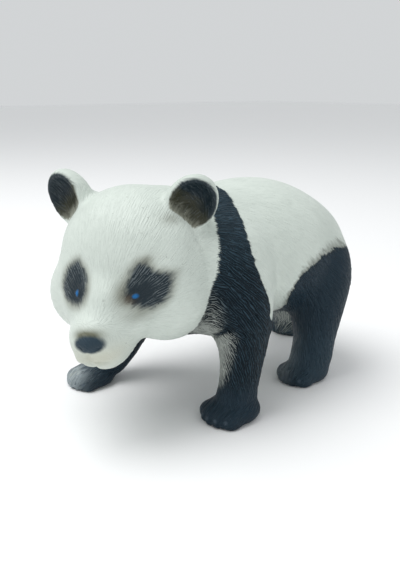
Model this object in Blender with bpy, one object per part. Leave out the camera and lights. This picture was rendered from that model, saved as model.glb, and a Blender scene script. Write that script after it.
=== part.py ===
"""A walking panda figurine, moulded in one piece of plastic and painted.

The panda faces -Y, its left side is +X, and it stands on the plane z = 0. Every form is
written in parts of the figure's length, so that the pose, the proportions and the carving
keep together when the length changes. Rough closed forms are fused into one skin, and the
skin is smoothed, carved and cut off flat at the soles.
"""

import math

import bmesh
import bpy
import numpy as np
from mathutils import Matrix, Vector

# Driving dimensions, in metres.
FIGURE_LENGTH = 0.124  # from the nose to the heel of the trailing hind foot
EAR_WALL = 0.0014  # thickness of the ear's shell at its rim
SOLE_CUT = 0.0004  # depth of the flat that is cut off under each foot

# Every other size is in parts of the length.
LENGTH_IN_PARTS = 124
UNIT = FIGURE_LENGTH / LENGTH_IN_PARTS

# How finely the forms are made.
RING_POINTS = 28
RINGS_PER_SPAN = 5
LEAST_RING = 0.2
BALL_SEGMENTS = 32
BALL_RINGS = 20
BODY_VOXEL = 1.0
BODY_SOFTENING = 36  # rounds of smoothing that melt the limbs into the body
SKIN_VOXEL = 0.62
SKIN_SOFTENING = 6  # rounds that only take the edge off the ears and toes
SOFTENING_STRENGTH = 0.5
SKIN_TRIANGLES = 9400

# The head has its own frame: lateral to the panda's left, forward out of the face, and up.
HEAD_CENTRE = Vector((3.0, -40.6, 45.9))
HEAD_YAW = math.radians(33)
HEAD_PITCH = math.radians(2.5)
HEAD_ROLL = math.radians(1.7)

# The ears are oval cups. Half sizes are across, through and up the cup.
EAR_LEFT = Vector((18.1, -3.0, 18.8))
EAR_RIGHT = Vector((-18.0, -3.0, 20.0))
EAR_OUTWARD = math.radians(21)  # how far the cups turn out from straight ahead
EAR_BOW = math.radians(7)  # how far they look down
EAR_LEAN = math.radians(35)  # how far the ovals lean out from upright
EAR_SHELL = Vector((7.3, 5.4, 8.9))
EAR_BOWL_DEPTH = 6.6  # half size of the bowl's hollow through the cup
EAR_BOWL_AHEAD = 5.0  # how far its centre lies in front of the shell's
EAR_BOWL_RAISED = 0.4
EAR_BACK = Vector((6.4, 5.2, 6.6))  # the mound that joins the cup to the skull
EAR_BACK_BEHIND, EAR_BACK_INWARD, EAR_BACK_BELOW = 3.2, 3.2, 5.4

# The eye sockets are soft hollows on both sides of the face.
SOCKET_PLACE = Vector((8.0, 17, -3))
SOCKET_SIZE = (5.5, 9, 5)
SOCKET_DEPTH = 1.5

# Shares of a foot's own length, half width and height.
PAD_MIDDLE_HEIGHT, PAD_HALF_HEIGHT = 0.42, 0.62
TOE_COUNT = 5
TOE_MIDDLE_HEIGHT, TOE_HALF_HEIGHT = 0.30, 0.42
TOE_HALF_WIDTH, TOE_HALF_LENGTH = 0.30, 0.17
TOE_SPREAD = 0.72  # from the middle toe to the outer one
TOE_INSET, TOE_ARC = 0.10, 0.13  # how far back the toes sit, and the outer ones more


def head_frame():
    """Matrix from head coordinates (left, forward, up) to the figure's, in parts."""
    forward = Vector((
        math.sin(HEAD_YAW) * math.cos(HEAD_PITCH),
        -math.cos(HEAD_YAW) * math.cos(HEAD_PITCH),
        -math.sin(HEAD_PITCH),
    ))
    level_left = Vector((math.cos(HEAD_YAW), math.sin(HEAD_YAW), 0))
    level_up = forward.cross(level_left)
    left = level_left * math.cos(HEAD_ROLL) + level_up * math.sin(HEAD_ROLL)
    up = level_up * math.cos(HEAD_ROLL) - level_left * math.sin(HEAD_ROLL)
    turn = Matrix((left, forward, up)).transposed().to_4x4()
    return Matrix.Translation(HEAD_CENTRE) @ turn


HEAD = head_frame()


def clear_scene():
    for old in list(bpy.data.objects):
        bpy.data.objects.remove(old, do_unlink=True)


def object_of(name, bm):
    """A new object in the scene that holds this bmesh, with its faces outward."""
    bmesh.ops.recalc_face_normals(bm, faces=bm.faces)
    mesh = bpy.data.meshes.new(name)
    bm.to_mesh(mesh)
    bm.free()
    made = bpy.data.objects.new(name, mesh)
    bpy.context.scene.collection.objects.link(made)
    return made


def smooth_stations(stations):
    """Catmull-Rom rows between the stations, so that a form has no corner at a station."""
    rows = np.array(stations, float)
    padded = np.vstack([2 * rows[0] - rows[1], rows, 2 * rows[-1] - rows[-2]])
    made = []
    for i in range(1, len(padded) - 2):
        before, start, end, after = padded[i - 1:i + 3]
        for t in np.arange(RINGS_PER_SPAN) / RINGS_PER_SPAN:
            made.append(0.5 * (
                2 * start + (end - before) * t
                + (2 * before - 5 * start + 4 * end - after) * t ** 2
                + (3 * start - before - 3 * end + after) * t ** 3
            ))
    return np.vstack([made, rows[-1]])


def loft(name, stations):
    """A closed form through rings, whose width runs sideways over the figure. A station is
    (x, y, z, half width, depth one way, depth the other way). On a leg the first depth is to
    the rear, and on the trunk it is downwards."""
    rows = smooth_stations(stations)
    centres = rows[:, :3]
    along = np.gradient(centres, axis=0)
    bm = bmesh.new()
    rings = []
    for centre, way, sizes in zip(centres, along, np.maximum(rows[:, 3:], LEAST_RING)):
        way = Vector(way).normalized()
        sideways = Vector((1, 0, 0))
        across = (sideways - way * sideways.dot(way)).normalized()
        over = across.cross(way)
        ring = []
        for k in range(RING_POINTS):
            angle = 2 * math.pi * k / RING_POINTS
            depth = sizes[1] if math.sin(angle) > 0 else sizes[2]
            place = (
                Vector(centre)
                + across * (sizes[0] * math.cos(angle))
                + over * (depth * math.sin(angle))
            )
            ring.append(bm.verts.new(place))
        rings.append(ring)
    for low, high in zip(rings, rings[1:]):
        for k in range(RING_POINTS):
            after = (k + 1) % RING_POINTS
            bm.faces.new((low[k], low[after], high[after], high[k]))
    bm.faces.new(rings[0])
    bm.faces.new(rings[-1])
    return object_of(name, bm)


def ball(name, centre, radii, frame=None, turn=None):
    """An ellipsoid at centre with its three half sizes, turned in its own place. The frame,
    if there is one, is what the centre and the turn are written in."""
    bm = bmesh.new()
    bmesh.ops.create_uvsphere(bm, u_segments=BALL_SEGMENTS, v_segments=BALL_RINGS, radius=1)
    place = Matrix.Translation(Vector(centre))
    if turn is not None:
        place = place @ turn
    place = place @ Matrix.Diagonal((*radii, 1))
    if frame is not None:
        place = frame @ place
    bmesh.ops.transform(bm, matrix=place, verts=bm.verts)
    return object_of(name, bm)


def evaluated(made):
    """The object with its modifiers applied."""
    graph = bpy.context.evaluated_depsgraph_get()
    mesh = bpy.data.meshes.new_from_object(made.evaluated_get(graph))
    made.modifiers.clear()
    made.data = mesh
    return made


def fuse(name, forms, voxel, rounds):
    """One skin round all the forms: they are joined, remeshed as one volume and smoothed."""
    bm = bmesh.new()
    for form in forms:
        bm.from_mesh(form.data)
        bpy.data.objects.remove(form, do_unlink=True)
    mesh = bpy.data.meshes.new(name)
    bm.to_mesh(mesh)
    bm.free()
    skin = bpy.data.objects.new(name, mesh)
    bpy.context.scene.collection.objects.link(skin)
    remesh = skin.modifiers.new("one skin", "REMESH")
    remesh.mode = "VOXEL"
    remesh.voxel_size = voxel
    remesh.adaptivity = 0
    soften = skin.modifiers.new("soften", "SMOOTH")
    soften.factor = SOFTENING_STRENGTH
    soften.iterations = rounds
    return evaluated(skin)


def torso():
    """Barrel of the body, ring by ring from the rump to the base of the neck."""
    # y, height of the centre, half width, below, above
    profile = (
        (43.5, 37, 3, 3, 3),
        (41.5, 37.5, 10.5, 12, 10),
        (37, 39, 17.5, 17.5, 15),
        (28, 41.5, 22.5, 20.3, 19.5),
        (18, 43, 25.5, 21.3, 23),
        (7, 44, 26, 21, 24),
        (-4, 44.3, 24.6, 20.6, 22.8),
        (-15, 44, 24.3, 21.8, 21.5),
        (-24, 43.5, 22.5, 22.4, 20.5),
        (-31, 42, 16, 19.4, 18),
        (-35, 41, 6, 8, 10),
    )
    stations = [(0, y, z, wide, below, above) for y, z, wide, below, above in profile]
    return loft("torso", stations)


def neck():
    """Ruff of the neck, from inside the shoulders to inside the skull."""
    stations = (
        (0, -14, 46, 21, 18, 18),
        (0, -24, 46.5, 22.5, 21.2, 19),
        (1, -33, 46.5, 22.5, 21.4, 19),
        (3, -41, 46.5, 20, 18, 17),
    )
    return loft("neck", stations)


def chest():
    """The broad underside of the chest, which runs level into the front legs."""
    return [
        ball("chest.left", (12, -21, 35), (12, 8, 10.5)),
        ball("chest.right", (-12, -21, 35), (12, 8, 10.5)),
    ]


def skull():
    """Cranium, cheeks, muzzle and jaw, in the head's own frame."""
    return [
        ball("cranium", (0.6, -3, 4), (21.2, 20, 20), HEAD),
        ball("crown.left", (8.5, -8, 7), (12, 10.5, 16.4), HEAD),
        ball("cheek.left", (10.5, 1.5, -6.4), (13.5, 13, 13), HEAD),
        ball("cheek.right", (-10.5, 1.5, -6), (13.5, 13, 13), HEAD),
        ball("temple.left", (9, 4, 0), (11.5, 12, 12), HEAD),
        ball("temple.right", (-8.6, 4, 0), (10.9, 12, 11.6), HEAD),
        ball("face", (-0.6, 10.5, -5.8), (15.0, 12.3, 11.0), HEAD),
        ball("muzzle", (-1.2, 17.5, -11.8), (8.9, 12, 7.4), HEAD),
        ball("lips", (-1.8, 16.5, -15.6), (8.8, 10.8, 6), HEAD),
    ]


def front_legs():
    """The left leg stands under the shoulder, and the right one reaches forward."""
    left = loft("leg.front.left", (
        (9, -14, 58, 7, 8, 8),
        (16, -15, 49, 11, 13, 13),
        (20, -15.5, 39, 10.5, 13, 12),
        (22.6, -15, 29, 8.5, 9.7, 9.0),
        (23.4, -15.6, 18, 6.7, 6.9, 6.7),
        (23.1, -16.2, 10, 5.8, 6.0, 6.8),
        (23, -16.5, 4, 6.0, 6.2, 9.6),
        (23, -16.5, 1.5, 5, 5, 8.5),
    ))
    right = loft("leg.front.right", (
        (-9, -14, 57, 7, 8, 8),
        (-15, -15, 48, 11, 12, 12),
        (-20, -17.5, 37, 10.3, 11.5, 11),
        (-22.5, -19.8, 27, 8.8, 9.8, 9),
        (-24, -23.6, 17, 7.1, 7.0, 7.2),
        (-24.8, -28.6, 10, 6.4, 6.8, 6.4),
        (-25.2, -34, 5, 5.8, 6.4, 4.5),
    ))
    return [left, right]


def hind_legs():
    """The left leg steps forward under the belly, and the right one trails."""
    left = loft("leg.hind.left", (
        (8, 23, 52, 8, 9, 9),
        (12.5, 25, 44, 11, 12.3, 12.3),
        (15.5, 26, 35, 11.6, 11.7, 12.5),
        (17.6, 24.4, 24, 9.2, 8.2, 9.8),
        (18.4, 22.8, 14, 7.1, 6.6, 7.6),
        (18.3, 23, 7, 6.6, 6.2, 10),
        (18, 23, 3, 5.6, 5.2, 10.5),
    ))
    right = loft("leg.hind.right", (
        (-8, 23, 52, 8, 9, 9),
        (-12.5, 26, 44, 11, 12.3, 12.3),
        (-16.5, 31, 34, 11.6, 12.5, 12.5),
        (-18.5, 38, 23, 9.6, 10.3, 10.3),
        (-18.5, 47, 13, 7.4, 7.6, 7.6),
        (-18.5, 51.5, 7, 6.8, 6.8, 9.5),
        (-18.5, 52, 3, 6, 6.2, 10),
    ))
    return [left, right]


def foot(name, heel, toe, half_width, height):
    """A paw: a low pad from heel to toe, and five toes in an arc along its front."""
    heel, toe = Vector((*heel, 0)), Vector((*toe, 0))
    way = (toe - heel).normalized()
    across = Vector((way.y, -way.x, 0))
    turn = Matrix((across, way, Vector((0, 0, 1)))).transposed().to_4x4()
    reach = (toe - heel).length
    middle = (heel + toe) / 2
    pad = (half_width, reach / 2, height * PAD_HALF_HEIGHT)
    forms = [ball(name, (middle.x, middle.y, height * PAD_MIDDLE_HEIGHT), pad, turn=turn)]
    toe_size = (half_width * TOE_HALF_WIDTH, reach * TOE_HALF_LENGTH, height * TOE_HALF_HEIGHT)
    for sideways in np.linspace(-1, 1, TOE_COUNT):
        place = (
            toe
            + across * (sideways * half_width * TOE_SPREAD)
            - way * (reach * (TOE_INSET + TOE_ARC * sideways ** 2))
        )
        place.z = height * TOE_MIDDLE_HEIGHT
        forms.append(ball(f"{name}.toe", place, toe_size, turn=turn))
    return forms


def feet():
    return (
        foot("foot.front.left", (23.2, -9.5), (22.6, -27.5), 8.0, 7.2)
        + foot("foot.front.right", (-25.4, -30.3), (-25.4, -45.9), 7.2, 7.0)
        + foot("foot.hind.left", (18.2, 28.6), (17, 10.5), 7.2, 7.4)
        + foot("foot.hind.right", (-18.5, 59), (-18, 43), 7.3, 7.3)
    )


def ear(name, centre):
    """A cupped oval ear that leans outward: a thick disc with a bowl sunk in its front, and a
    mound behind it that runs into the skull."""
    side = math.copysign(1, centre.x)
    forward = Vector((
        side * math.sin(EAR_OUTWARD), math.cos(EAR_OUTWARD), -math.sin(EAR_BOW),
    )).normalized()
    level = Vector((0, 0, 1)).cross(forward).normalized()
    upright = forward.cross(level)
    up = upright * math.cos(EAR_LEAN) - level * (side * math.sin(EAR_LEAN))
    across = up.cross(forward)
    turn = Matrix((across, forward, up)).transposed().to_4x4()
    wall = EAR_WALL / UNIT
    shell = ball(name, centre, EAR_SHELL, HEAD, turn)
    hollow = (EAR_SHELL.x - wall, EAR_BOWL_DEPTH, EAR_SHELL.z - wall - EAR_BOWL_RAISED)
    middle = centre + forward * EAR_BOWL_AHEAD + up * EAR_BOWL_RAISED
    bowl = ball(f"{name}.bowl", middle, hollow, HEAD, turn)
    sink = shell.modifiers.new("bowl", "BOOLEAN")
    sink.operation = "DIFFERENCE"
    sink.solver = "EXACT"
    sink.object = bowl
    evaluated(shell)
    bpy.data.objects.remove(bowl, do_unlink=True)
    lower = Vector((-side * EAR_BACK_INWARD, 0, -EAR_BACK_BELOW))
    back = ball(f"{name}.back", centre - forward * EAR_BACK_BEHIND + lower, EAR_BACK, HEAD)
    return [shell, back]


def tail():
    """A short tail pressed to the rump."""
    return ball("tail", (0, 42.8, 41), (6, 4.2, 7.5))


def press(points, normals, place, size, depth):
    """Pushes the skin in, in a soft spot of these half sizes at a place in the head's frame."""
    axes = np.array(HEAD.to_3x3())
    local = (points - np.array(HEAD @ place)) @ axes
    near = np.exp(-((local / np.array(size)) ** 2).sum(axis=1))
    return points - normals * (depth * near)[:, None]


def carve(skin):
    """The eye sockets, pressed into the smooth skin."""
    mesh = skin.data
    count = len(mesh.vertices)
    points, normals = np.empty(count * 3), np.empty(count * 3)
    mesh.vertices.foreach_get("co", points)
    mesh.vertices.foreach_get("normal", normals)
    points, normals = points.reshape(-1, 3), normals.reshape(-1, 3)
    for side in (-1, 1):
        place = Vector((side * SOCKET_PLACE.x, SOCKET_PLACE.y, SOCKET_PLACE.z))
        points = press(points, normals, place, SOCKET_SIZE, SOCKET_DEPTH)
    mesh.vertices.foreach_set("co", points.ravel())
    mesh.update()


def flat_soles(skin):
    """Cuts the feet off flat, a little above their lowest point, and closes the cuts."""
    bm = bmesh.new()
    bm.from_mesh(skin.data)
    cut = SOLE_CUT / UNIT
    bmesh.ops.bisect_plane(
        bm, geom=list(bm.verts) + list(bm.edges) + list(bm.faces),
        plane_co=(0, 0, cut), plane_no=(0, 0, 1), clear_inner=True,
    )
    rim = [edge for edge in bm.edges if edge.is_boundary]
    bmesh.ops.triangle_fill(bm, edges=rim, use_beauty=True, normal=(0, 0, -1))
    bmesh.ops.triangulate(bm, faces=bm.faces)
    bmesh.ops.recalc_face_normals(bm, faces=bm.faces)
    bm.to_mesh(skin.data)
    bm.free()


def thin_out(skin):
    """Fewer triangles where the skin is even, down to the number that the figure keeps."""
    now = sum(len(face.vertices) - 2 for face in skin.data.polygons)
    fewer = skin.modifiers.new("fewer", "DECIMATE")
    fewer.decimate_type = "COLLAPSE"
    fewer.ratio = min(1.0, SKIN_TRIANGLES / now)
    return evaluated(skin)


def stand_on_floor(skin):
    """Real size, with the origin under the middle of the box, on the floor."""
    points = np.array([vertex.co for vertex in skin.data.vertices])
    low, high = points.min(axis=0), points.max(axis=0)
    middle = (low + high) / 2
    shift = Matrix.Translation((-middle[0], -middle[1], -low[2]))
    skin.data.transform(Matrix.Scale(UNIT, 4) @ shift)
    return shift


def moulded_plastic(skin):
    paint = bpy.data.materials.new("painted plastic")
    paint.use_nodes = True
    shader = paint.node_tree.nodes["Principled BSDF"]
    shader.inputs["Base Color"].default_value = (0.78, 0.80, 0.77, 1)
    shader.inputs["Roughness"].default_value = 0.45
    shader.inputs["Metallic"].default_value = 0.0
    skin.data.materials.clear()
    skin.data.materials.append(paint)


def main():
    clear_scene()
    limbs = [*front_legs(), *hind_legs(), tail()]
    trunk = [torso(), neck(), *chest(), *skull()]
    body = fuse("body", trunk + limbs, BODY_VOXEL, BODY_SOFTENING)
    ears = ear("ear.left", EAR_LEFT) + ear("ear.right", EAR_RIGHT)
    skin = fuse("panda", [body, *ears, *feet()], SKIN_VOXEL, SKIN_SOFTENING)
    carve(skin)
    thin_out(skin)
    flat_soles(skin)
    shift = stand_on_floor(skin)
    moulded_plastic(skin)
    return shift


FORM_TO_FLOOR = main()
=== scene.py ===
# %% [markdown]
# # A painted panda figurine
#
# The real thing is one casting of vinyl. A sculptor cut the fur into the master with a fine tool,
# so the fur is real relief, and the paint lies over it: an off-white body, blue-black legs and
# shoulders, airbrushed olive shadows in the ears, and a dry brush of grey on the chest.
# The plain CAD figure gives the size and the pose. This lesson puts a fine skin on it, carves the
# face, the paws and the fur into that skin, and paints it.

# %% Load the frame
import math

import bpy
import numpy as np
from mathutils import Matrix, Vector, kdtree


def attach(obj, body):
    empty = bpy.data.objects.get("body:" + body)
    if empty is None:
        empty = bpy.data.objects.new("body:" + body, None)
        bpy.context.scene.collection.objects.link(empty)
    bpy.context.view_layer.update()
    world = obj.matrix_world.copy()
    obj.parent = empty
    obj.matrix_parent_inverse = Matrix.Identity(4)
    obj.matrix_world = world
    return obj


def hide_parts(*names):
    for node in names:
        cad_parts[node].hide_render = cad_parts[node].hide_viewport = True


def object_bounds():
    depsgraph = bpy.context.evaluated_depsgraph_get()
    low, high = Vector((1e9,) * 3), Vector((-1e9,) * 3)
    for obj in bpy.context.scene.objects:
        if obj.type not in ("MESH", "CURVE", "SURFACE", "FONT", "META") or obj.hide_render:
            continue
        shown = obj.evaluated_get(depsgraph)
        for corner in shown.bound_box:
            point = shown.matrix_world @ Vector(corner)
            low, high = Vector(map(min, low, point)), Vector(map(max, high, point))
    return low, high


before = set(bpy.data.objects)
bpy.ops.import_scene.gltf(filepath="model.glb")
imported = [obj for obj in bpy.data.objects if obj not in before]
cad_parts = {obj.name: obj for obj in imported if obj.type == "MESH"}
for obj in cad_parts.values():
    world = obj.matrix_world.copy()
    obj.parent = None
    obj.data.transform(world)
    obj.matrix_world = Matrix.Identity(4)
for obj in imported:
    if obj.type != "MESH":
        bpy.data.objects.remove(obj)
cad_low, cad_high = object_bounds()
MM = 0.001
print("pieces in the frame:", len(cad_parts))
print("the figure is", [round((high - low) / MM, 1) for low, high in zip(cad_low, cad_high)], "mm")

# %% [markdown]
# ## The head's own directions
#
# The head is turned to the panda's left and bowed a little, so its eyes, nose and ears are
# easier to place in directions of its own: sideways to the panda's left, forward out of the
# face, and up. All the sizes below are in millimetres.

# %% The head's frame
HEAD_CENTRE = (3.91, -37.17, 45.5)
HEAD_YAW = math.radians(33)
HEAD_PITCH = math.radians(2.5)
HEAD_ROLL = math.radians(1.7)


def head_axes():
    """The directions left, forward and up of the head, as rows."""
    forward = Vector((
        math.sin(HEAD_YAW) * math.cos(HEAD_PITCH),
        -math.cos(HEAD_YAW) * math.cos(HEAD_PITCH),
        -math.sin(HEAD_PITCH),
    ))
    level = Vector((math.cos(HEAD_YAW), math.sin(HEAD_YAW), 0))
    upright = forward.cross(level)
    left = level * math.cos(HEAD_ROLL) + upright * math.sin(HEAD_ROLL)
    up = upright * math.cos(HEAD_ROLL) - level * math.sin(HEAD_ROLL)
    return np.array((left, forward, up))


HEAD_AXES = head_axes()
print("the face looks along", HEAD_AXES[1].round(2))


def in_head(points):
    """Points of the figure, in the head's directions."""
    return (points - np.array(HEAD_CENTRE)) @ HEAD_AXES.T


# %% [markdown]
# ## A fine skin
#
# The CAD figure has about nine thousand triangles, which is right for physics and too coarse for
# fur. Its triangles are loose, so a copy of it is merged first. Subdivision rounds the facets
# off, and a voxel remesh then gives even quads of about six tenths of a millimetre, which carry
# the carving. Even quads matter here: long thin ones would show as streaks under a satin paint.

# %% Copy the figure and merge its triangles
WELD_GAP = 0.001

skin = bpy.data.objects.new("painted_panda", bpy.data.objects["panda"].data.copy())
bpy.context.scene.collection.objects.link(skin)
bpy.ops.object.select_all(action="DESELECT")
skin.select_set(True)
bpy.context.view_layer.objects.active = skin

bpy.ops.object.mode_set(mode="EDIT")
bpy.ops.mesh.select_all(action="SELECT")
bpy.ops.mesh.remove_doubles(threshold=WELD_GAP * MM)
bpy.ops.object.mode_set(mode="OBJECT")
print("the merged copy has", len(skin.data.vertices), "vertices")

# %% Round off, remesh and settle
ROUND_LEVELS = 2
SKIN_VOXEL = 0.595
SETTLE_FACTOR = 0.5
SETTLE_STEPS = 4

rounded = skin.modifiers.new("rounded", "SUBSURF")
rounded.levels = ROUND_LEVELS
rounded.render_levels = ROUND_LEVELS
bpy.ops.object.modifier_apply(modifier=rounded.name)
even = skin.modifiers.new("even quads", "REMESH")
even.mode = "VOXEL"
even.voxel_size = SKIN_VOXEL * MM
bpy.ops.object.modifier_apply(modifier=even.name)
settle = skin.modifiers.new("settle", "SMOOTH")
settle.factor = SETTLE_FACTOR
settle.iterations = SETTLE_STEPS
bpy.ops.object.modifier_apply(modifier=settle.name)
print("the skin has", len(skin.data.polygons), "quads")

# %% [markdown]
# ## Finer quads where the detail is
#
# The eyes, the nose and the lips need smaller quads than the back does. The vertices near them
# are picked by their place, and the faces between them are subdivided once, which halves them.

# %% Pick the vertices of the face
EYE_LEFT = (8.6, 17.4, -1.6)
EYE_RIGHT = (-7.6, 17.9, -1.4)
NOSE = (-0.2, 27.6, -11.4)
EYE_REACH = 3.4
NOSE_REACH = 8.5


def skin_points():
    """The vertices and normals of the skin, in millimetres, as arrays."""
    count = len(skin.data.vertices)
    points, normals = np.empty(count * 3), np.empty(count * 3)
    skin.data.vertices.foreach_get("co", points)
    skin.data.vertices.foreach_get("normal", normals)
    return points.reshape(-1, 3) / MM, normals.reshape(-1, 3)


def near(places, spot, radius):
    """Which places lie within a radius of a spot."""
    return np.linalg.norm(places - np.array(spot), axis=1) < radius


points, normals = skin_points()
local = in_head(points)
wanted = near(local, EYE_LEFT, EYE_REACH) | near(local, EYE_RIGHT, EYE_REACH)
wanted |= near(local, NOSE, NOSE_REACH)
print("vertices in the eyes and the snout:", int(wanted.sum()))

# %% Subdivide the faces between them
bpy.ops.object.mode_set(mode="EDIT")
bpy.ops.mesh.select_mode(type="VERT")
bpy.ops.mesh.select_all(action="DESELECT")
bpy.ops.object.mode_set(mode="OBJECT")
skin.data.vertices.foreach_set("select", wanted)
bpy.ops.object.mode_set(mode="EDIT")
bpy.ops.mesh.subdivide(number_cuts=1, ngon=False)
bpy.ops.object.mode_set(mode="OBJECT")
print("the skin now has", sum(len(face.vertices) - 2 for face in skin.data.polygons), "triangles")

# %% [markdown]
# ## Carve the face
#
# A press pushes the skin along its normal in a soft round spot, and a groove does it along a
# line. Presses make the eye sockets, the nose pad with its nostrils, and the swells of the chin
# and the lip. Grooves make the split of the lip, the line of the mouth, and the fold behind each
# cheek, where the ruff of the neck starts. Both could be sculpted by hand with a brush. Worked
# out from their places, they stay sharp and come out the same each time.

# %% Press and groove
points, normals = skin_points()
local = in_head(points)
depth = np.zeros(len(points))


def press(spot, radii, depth):
    """How deep the skin goes in, or out where depth is negative, round a spot of the head."""
    reach = (local - np.array(spot)) / np.array(radii)
    return depth * np.exp(-(reach ** 2).sum(axis=1))


def groove(start, end, width, depth):
    """The depth of a groove along a straight line in the head's directions."""
    start, end = np.array(start, float), np.array(end, float)
    way = end - start
    share = np.clip(((local - start) @ way) / (way @ way), 0, 1)
    gap = np.linalg.norm(local - start - share[:, None] * way, axis=1)
    return depth * np.exp(-(gap / width) ** 2)


def floor_groove(start, end, width, depth):
    """The depth of a groove along a straight line in the figure's directions."""
    return groove(in_head(np.array(start, float)), in_head(np.array(end, float)), width, depth)


def mirrored(place, side):
    """A place on the head's left where side is 1, and the same place on its right where it is -1."""
    return np.array(place) * (side, 1, 1)


# %% Eye sockets, nose pad and nostrils
SOCKET = ((2.6, 3, 2.2), 0.7)
EYEBALL = ((1.15, 2, 0.95), -0.75)
NOSE_PAD = ((4.3, 4, 2.6), -0.7)
NOSTRIL_PLACE = (2.3, 28, -12.3)
NOSTRIL = ((0.8, 2, 0.6), 0.7)

for eye in (EYE_LEFT, EYE_RIGHT):
    depth += press(eye, *SOCKET)
    depth += press(eye, *EYEBALL)
depth += press(NOSE, *NOSE_PAD)
for side in (-1, 1):
    depth += press(mirrored(NOSTRIL_PLACE, side), *NOSTRIL)
print("the sockets are", round(depth.max(), 2), "mm deep")

# %% Mouth, chin and cheeks
UNDER_NOSE = (-0.6, 28, -13.6)
LIP_SPLIT = (-1.0, 27, -17.2)
MOUTH_SHIFT = (-1, 0, 0)
MOUTH_CORNER = (6, 23.6, -17.8)
MOUTH_END = (9.4, 17, -16)
CHIN_TOP = (-1.2, 27, -17.6)
CHIN_SPLIT = (-1.4, 19, -20.8)
CHEEK_FOLD = ((19.3, -0.1, 12), (20.7, -0.2, 9.5), (22.2, -0.3, 6.9), (23.2, 0.4, 3), (23.8, 0.8, -1.1))
LIP_CUT = (0.6, 0.6)
MOUTH_CUT = (0.65, 0.95)
CHIN_CUT = (0.8, 1.0)
CHEEK_CUT = (0.9, 0.28)
CHIN_SWELL = ((2.0, 21.5, -19.5), (3.8, 6, 3), -0.8)
LIP_SWELL = ((-3.4, 26, -16.2), (2.6, 4, 1.9), -1.1)
LIP_HOLLOW = ((-6.2, 22, -16.5), (2.5, 6, 3), 0.5)

depth += groove(UNDER_NOSE, LIP_SPLIT, *LIP_CUT)
for side in (-1, 1):
    corner = mirrored(MOUTH_CORNER, side) + MOUTH_SHIFT
    depth += groove(LIP_SPLIT, corner, *MOUTH_CUT)
    depth += groove(corner, mirrored(MOUTH_END, side) + MOUTH_SHIFT, *LIP_CUT)
    fold = mirrored(CHEEK_FOLD, side)
    for start, end in zip(fold, fold[1:]):
        depth += groove(start, end, *CHEEK_CUT)
depth += groove(CHIN_TOP, CHIN_SPLIT, *CHIN_CUT)
for spot, radii, amount in (CHIN_SWELL, LIP_SWELL, LIP_HOLLOW):
    depth += press(spot, radii, amount)
print("the highest swell is", round(-depth.min(), 2), "mm")

# %% [markdown]
# ## A fold at the chest and a swell at the instep
#
# The near leg meets the chest in a short crease, and the near hind leg swells at the front of
# its ankle. Both are placed in the figure's own directions, by the same groove. A negative
# depth makes a groove into a ridge.

# %% Chest fold and instep
CHEST_FOLD = ((17.5, -19.2, 24.4), (27, -19.8, 29.8))
CHEST_CUT = (0.9, 0.9)
INSTEP = ((17.5, 15.8, 6), (18.5, 18, 11))
INSTEP_SWELL = (3.0, -1.3)

depth += floor_groove(*CHEST_FOLD, *CHEST_CUT)
depth += floor_groove(*INSTEP, *INSTEP_SWELL)
points = points - normals * depth[:, None]
print("points carved deeper than a tenth of a millimetre:", int((np.abs(depth) > 0.1).sum()))

# %% [markdown]
# ## Which way the fur lies
#
# Fur runs away from the nose over the head, back and down over the body, outwards over the
# chest, and down the legs to the toes. The direction is worked out at every point, and laid into
# the surface.

# %% Helpers for directions and shares
HEAD_RADIUS = 25


def unit(vectors):
    """Each row at length 1."""
    return vectors / np.maximum(np.linalg.norm(vectors, axis=1, keepdims=True), 1e-9)


def ramp(value, low, high):
    """0 below low, 1 above high, and a smooth climb between."""
    share = np.clip((value - low) / (high - low), 0, 1)
    return share * share * (3 - 2 * share)


def mix(under, over, share):
    """One row of numbers over another by a share."""
    return under * (1 - share)[:, None] + over * share[:, None]


# %% Flow of the fur
FUR_SOURCE = np.array((0, 27, -10))
OVER_BODY = np.array((0, 0.74, -0.67))
DOWN_LEG = np.array((0, 0.28, -0.96))
OUT_OF_CHEST = np.array((0.85, 0, -0.5))
ACROSS_SHIN = np.array((0.42, 0, -0.9))
TO_TOES = np.array((0, -0.9, -0.4))
LEG_HEIGHTS = (20, 40)
CHEST_FRONT = (12, 18)
CHEST_MIDDLE = 6
CHEST_BOTTOM = (22, 27)
CHEST_TOP = (34, 42)
PAW_HEIGHTS = (5, 9)


def fur_flow(points, normals):
    """Unit directions along the surface that the strokes follow."""
    across, height = points[:, 0], points[:, 2]
    way = np.tile(OVER_BODY, (len(points), 1))
    way = mix(way, DOWN_LEG, 1 - ramp(height, *LEG_HEIGHTS))
    in_front = ramp(-points[:, 1], *CHEST_FRONT) * np.abs(np.tanh(across / CHEST_MIDDLE))
    above_shin = ramp(height, *CHEST_BOTTOM)
    on_chest = in_front * above_shin * (1 - ramp(height, *CHEST_TOP))
    way = mix(way, OUT_OF_CHEST * np.sign(across)[:, None], on_chest)
    way = mix(way, ACROSS_SHIN, in_front * (1 - above_shin) * (across > 0))
    way = mix(way, TO_TOES, 1 - ramp(height, *PAW_HEIGHTS))
    head = in_head(points)
    away = unit(head - FUR_SOURCE) @ HEAD_AXES
    on_head = 1 - ramp(np.linalg.norm(head, axis=1), HEAD_RADIUS - 2, HEAD_RADIUS + 3)
    way = mix(way, away, on_head)
    return unit(way - normals * (way * normals).sum(axis=1, keepdims=True))


flow = fur_flow(points, normals)
print("the fur runs on average along", flow.mean(axis=0).round(2))

# %% [markdown]
# ## Tufts
#
# Sculpted fur is made of tufts: short bundles of parallel grooves that overlap like roof tiles.
# Seeds are scattered over the skin, and every point joins the tuft whose long, narrow shape fits
# it best. Inside a tuft two numbers say where a point is: how far along the strokes, and how far
# across them. The relief uses them now, and the material uses them again, as a UV map.

# %% Scatter the seeds
TUFT_COUNT = 4600
SEED_OF_CHANCE = 7

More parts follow.
